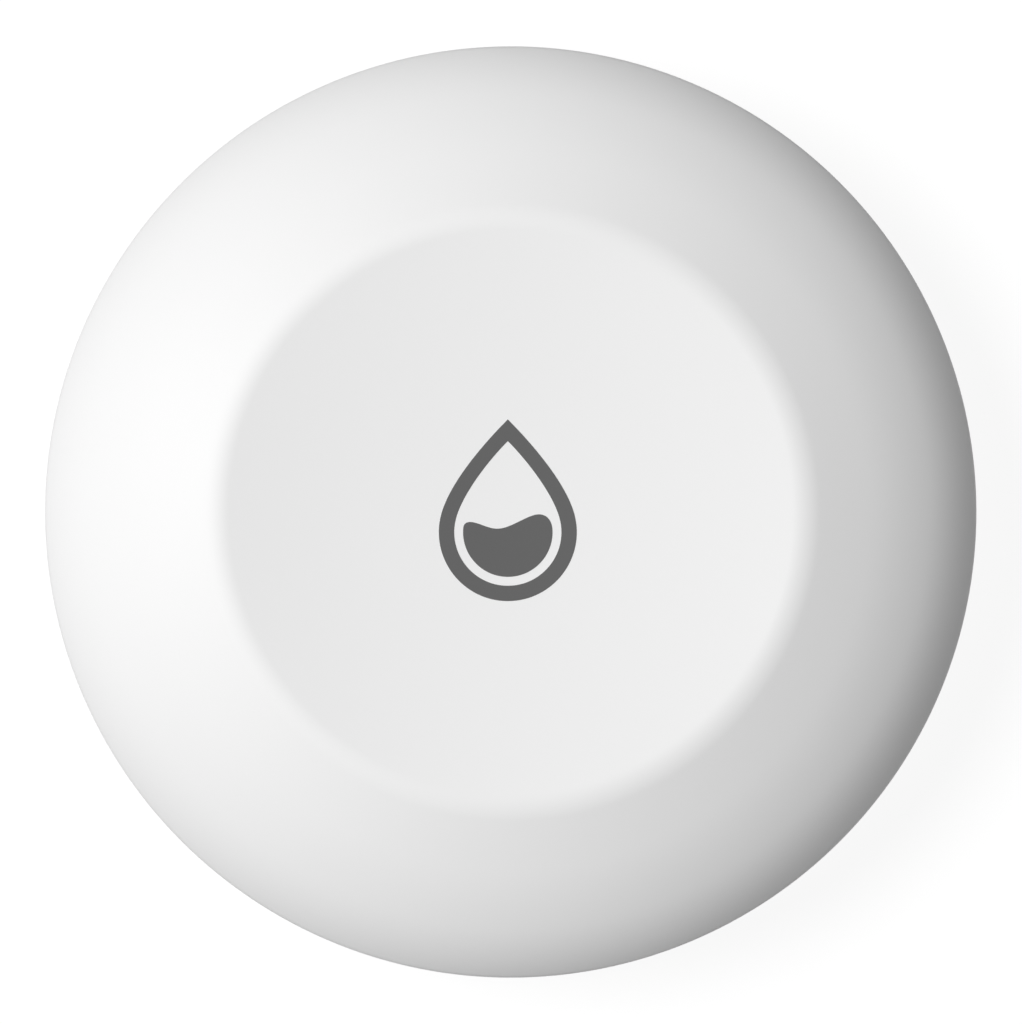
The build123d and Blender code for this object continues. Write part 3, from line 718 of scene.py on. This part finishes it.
def outline_loops(curve):
    """The drop's ring: its outer edge and its inner edge."""
    drop_loop(curve, 0)
    drop_loop(curve, DROP_STROKE)


for piece, node in ((inlay("drop-outline", outline_loops), "droplet_outline"),
                    (inlay("drop-water", water_loop), "droplet_water")):
    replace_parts(piece, node)
    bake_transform(piece)


# The lower case

white_base = moulded_plastic("white moulded base", WHITE)
white_hatch = moulded_plastic("white moulded hatch", WHITE)
grey_rubber = moulded_plastic("grey foot rubber", (0.27, 0.275, 0.28), roughness=0.75, drift=0.05,
                              grain=0.1, depth=0.003)


def lower_case():
    """The bowl with its pockets, pads, posts, battery opening and ledges."""
    mesh = bmesh.new()
    flat = mesh.verts.new((FLAT_RADIUS, 0, BASE_Z))
    bmesh.ops.spin(mesh, geom=[flat], cent=(FLAT_RADIUS, 0, BASE_Z + BOWL_RUN), axis=(0, 1, 0),
                   angle=radians(-90), steps=BOWL_ARC_STEPS)
    bmesh.ops.scale(mesh, vec=(1, 1, BOWL_RISE_SHARE), verts=mesh.verts[:],
                    space=Matrix.Translation((0, 0, -BASE_Z)))
    side = max(mesh.verts, key=lambda vert: vert.co.x)
    rim = runs(mesh, ((CASE_RADIUS - SEAM_EDGE, SEAM_Z), (TONGUE_RADIUS, SEAM_Z),
                      (TONGUE_RADIUS, SEAL_GROOVE_LOW_Z), (SEAL_GROOVE_RADIUS, SEAL_GROOVE_LOW_Z),
                      (SEAL_GROOVE_RADIUS, SEAL_GROOVE_TOP_Z), (TONGUE_RADIUS, SEAL_GROOVE_TOP_Z),
                      (TONGUE_RADIUS, TONGUE_Z - TONGUE_EDGE),
                      (TONGUE_RADIUS - TONGUE_EDGE, TONGUE_Z), (TONGUE_INNER, TONGUE_Z),
                      (TONGUE_INNER, FLOOR_Z)))
    side.co.z = SEAM_Z - SEAM_EDGE
    mesh.edges.new((side, rim[0]))
    turn(mesh)
    add(mesh, turned(((COLLAR_RADIUS, FLOOR_Z), (COLLAR_RADIUS, COLLAR_Z), (BAY_RADIUS, COLLAR_Z),
                      (BAY_RADIUS, FLANGE_Z), (COUNTERBORE_RADIUS, FLANGE_Z),
                      (COUNTERBORE_RADIUS, BASE_Z + EDGE), (COUNTERBORE_RADIUS + EDGE, BASE_Z)),
                     softened=(1, 2), steps=HATCH_STEPS))
    for corners, angles, softened in ((FOOT_POCKET, FOOT_ANGLES, (7,)),
                                      (PROBE_POCKET, PROBE_ANGLES, ()),
                                      (BOARD_POST, POST_ANGLES, (1,))):
        for angle in angles:
            add(mesh, turned(corners, softened, radius=FIXING_CIRCLE, angle=angle))
    add(mesh, turned(CLOSED_MARK, steps=MARK_STEPS, radius=MARK_CIRCLE, angle=MARK_ANGLE))
    add(mesh, turned(OPEN_MARK, steps=MARK_STEPS, radius=MARK_CIRCLE,
                     angle=MARK_ANGLE + OPEN_MARK_TURN))
    floor_between(mesh, BASE_Z)
    floor_between(mesh, FLOOR_Z)
    bmesh.ops.recalc_face_normals(mesh, faces=mesh.faces[:])
    for angle in LUG_ANGLES:
        add(mesh, thread_piece(*LEDGE, angle))
    return finish_piece("base", mesh, white_base, "white_base", outwards=False)


def battery_hatch():
    """The hatch with its coin slot, seal groove, neck and lugs."""
    mesh = turned(HATCH, softened=HATCH_SOFT_CORNERS, steps=HATCH_STEPS)
    slot = turned(COIN_SLOT_END, steps=COIN_SLOT_STEPS, start=180 / COIN_SLOT_STEPS)
    for vert in slot.verts:
        if abs(vert.co.x) > NEAR:
            vert.co.x += COIN_SLOT_REACH if vert.co.x > 0 else -COIN_SLOT_REACH
    add(mesh, slot)
    add(mesh, turned(ARROW_MARK, steps=3, radius=ARROW_CIRCLE, angle=MARK_ANGLE))
    floor_between(mesh, BASE_Z)
    bmesh.ops.recalc_face_normals(mesh, faces=mesh.faces[:])
    for angle in LUG_ANGLES:
        add(mesh, thread_piece(*LUG, angle))
    return finish_piece("hatch", mesh, white_hatch, "white_hatch", outwards=False)


def rubber_feet():
    """Three soft feet, each with a rounded edge and a shallow dimple."""
    mesh = bmesh.new()
    for angle in FOOT_ANGLES:
        add(mesh, turned(FOOT, softened=(3,), reach=FOOT_EDGE, steps=FOOT_STEPS,
                         radius=FIXING_CIRCLE, angle=angle))
    return finish_piece("feet", mesh, grey_rubber, "foot_rubber")


def snap_dome():
    """The thin disc under the switch's stem, which gives way when the top is pressed."""
    mesh = bmesh.new()
    low, high = [corner.z / MM for corner in map(Vector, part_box("switch_dome"))]
    feet = []
    for inset in (0, DOME_METAL):
        foot, rise = DOME_RADIUS - inset, high - low - inset
        ball = (foot ** 2 + rise ** 2) / (2 * rise)
        top = mesh.verts.new((0, 0, low + rise))
        swept = bmesh.ops.spin(mesh, geom=[top], cent=(0, 0, low + rise - ball), axis=(0, 1, 0),
                               angle=asin(foot / ball), steps=DOME_ARC_STEPS)
        feet += [part for part in swept["geom_last"] if isinstance(part, bmesh.types.BMVert)]
    mesh.edges.new(feet)
    turn(mesh, FOOT_STEPS)
    return finish_piece("snap-dome", mesh, finishes["contact_nickel"], "contact_nickel")


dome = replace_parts(snap_dome(), "switch_dome")
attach(dome, "case")
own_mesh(dome)
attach(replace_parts(lower_case(), "base_shell"), "case")
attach(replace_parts(battery_hatch(), "battery_hatch"), "hatch")
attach(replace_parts(rubber_feet(), "rubber_feet"), "case")


# Camera

CAMERA_LENS = 600
CAMERA_SENSOR = 36
CAMERA_PLACE = (0.000011, 0, 0.9249)
CAMERA_RANGE = (0.05, 10)


def camera():
    """A long lens straight above, which sees the case almost without perspective."""
    data = bpy.data.cameras.new("camera")
    data.lens = CAMERA_LENS
    data.sensor_width = CAMERA_SENSOR
    data.clip_start, data.clip_end = CAMERA_RANGE
    eye = bpy.data.objects.new("camera", data)
    eye.location = CAMERA_PLACE
    bpy.context.scene.collection.objects.link(eye)
    bpy.context.scene.camera = eye


camera()


# Studio

LAMP_DISTANCE = 1.2
LAMP_SIZE_SHARE = 0.58
# The lamp's level on a face turned to it, its angle from straight above, and its bearing
LAMP_LEVEL = 1.02
LAMP_LEAN = 30
LAMP_BEARING = 167
# The light that comes from all round, above and below the level of the floor
SURROUND_LEVEL = 0.115
UNDER_LEVEL = 0.4
FLOOR_SIZE = 8000
FLOOR_GAP = 0.02
# The floor's grey, roughness and own light, for the light that it gives back and as it is seen
FLOOR_LIT = (0.05, 0.9, 0.4)
FLOOR_SEEN = (0.12, 1.0, 0.9)


def seen_rays(tree):
    """One for what the camera sees, straight or by gloss and glass, and nought for other light."""
    rays = tree.nodes.new("ShaderNodeLightPath")
    seen = rays.outputs["Is Camera Ray"]
    for name in ("Is Glossy Ray", "Is Transmission Ray"):
        seen = arithmetic(tree, "MAXIMUM", seen, rays.outputs[name])
    return seen


def between(tree, amount, one, other):
    """One shader where the amount is nought, and another where it is one."""
    mix = tree.nodes.new("ShaderNodeMixShader")
    tree.links.new(amount, mix.inputs["Fac"])
    tree.links.new(one, mix.inputs[1])
    tree.links.new(other, mix.inputs[2])
    return mix.outputs["Shader"]


def pale_floor():
    """A floor that looks white, takes the object's shadow and can't be seen from below."""
    mesh = bmesh.new()
    bmesh.ops.create_grid(mesh, x_segments=1, y_segments=1, size=FLOOR_SIZE)
    bmesh.ops.translate(mesh, verts=mesh.verts[:], vec=(0, 0, -FLOOR_GAP))
    material, tree, shader = start_finish("pale floor")[:3]
    seen = tree.nodes.new("ShaderNodeBsdfPrincipled")
    for surface, (grey, roughness, glow) in ((shader, FLOOR_LIT), (seen, FLOOR_SEEN)):
        surface.inputs["Base Color"].default_value = (grey, grey, grey, 1)
        surface.inputs["Roughness"].default_value = roughness
        surface.inputs["Emission Color"].default_value = (1, 1, 1, 1)
        surface.inputs["Emission Strength"].default_value = glow
    top = between(tree, seen_rays(tree), shader.outputs["BSDF"], seen.outputs["BSDF"])
    side = tree.nodes.new("ShaderNodeNewGeometry")
    clear = tree.nodes.new("ShaderNodeBsdfTransparent")
    one_sided = between(tree, side.outputs["Backfacing"], top, clear.outputs["BSDF"])
    output = [node for node in tree.nodes if node.type == "OUTPUT_MATERIAL"][0]
    tree.links.new(one_sided, output.inputs["Surface"])
    material.cycles.emission_sampling = "NONE"
    floor = finish_piece("floor", mesh, material, outwards=False)


def surround():
    """A white surrounding that gives a little light from all round."""
    world = bpy.data.worlds.new("studio")
    bpy.context.scene.world = world
    world.use_nodes = True
    tree = world.node_tree
    tree.nodes.clear()
    soft = tree.nodes.new("ShaderNodeBackground")
    bright = tree.nodes.new("ShaderNodeBackground")
    for background in (soft, bright):
        background.inputs["Color"].default_value = (1, 1, 1, 1)
    way = tree.nodes.new("ShaderNodeTexCoord")
    split = tree.nodes.new("ShaderNodeSeparateXYZ")
    tree.links.new(way.outputs["Generated"], split.inputs["Vector"])
    below = arithmetic(tree, "LESS_THAN", split.outputs["Z"], 0)
    tree.links.new(spread(tree, below, SURROUND_LEVEL, UNDER_LEVEL), soft.inputs["Strength"])
    bright.inputs["Strength"].default_value = 1.0
    output = tree.nodes.new("ShaderNodeOutputWorld")
    light = between(tree, seen_rays(tree), soft.outputs["Background"], bright.outputs["Background"])
    tree.links.new(light, output.inputs["Surface"])


def soft_lamp():
    """One large soft lamp above the left of the object."""
    data = bpy.data.lights.new("soft lamp", "AREA")
    data.shape = "DISK"
    data.size = LAMP_DISTANCE * LAMP_SIZE_SHARE
    data.energy = LAMP_LEVEL * pi ** 2 * LAMP_DISTANCE ** 2
    lamp = bpy.data.objects.new("soft lamp", data)
    lean, bearing = radians(LAMP_LEAN), radians(LAMP_BEARING)
    toward = Vector((sin(lean) * cos(bearing), sin(lean) * sin(bearing), cos(lean)))
    lamp.location = toward * LAMP_DISTANCE
    lamp.rotation_euler = toward.to_track_quat("Z", "Y").to_euler()
    bpy.context.scene.collection.objects.link(lamp)


pale_floor()
surround()
soft_lamp()
bpy.context.scene.view_settings.view_transform = "Standard"
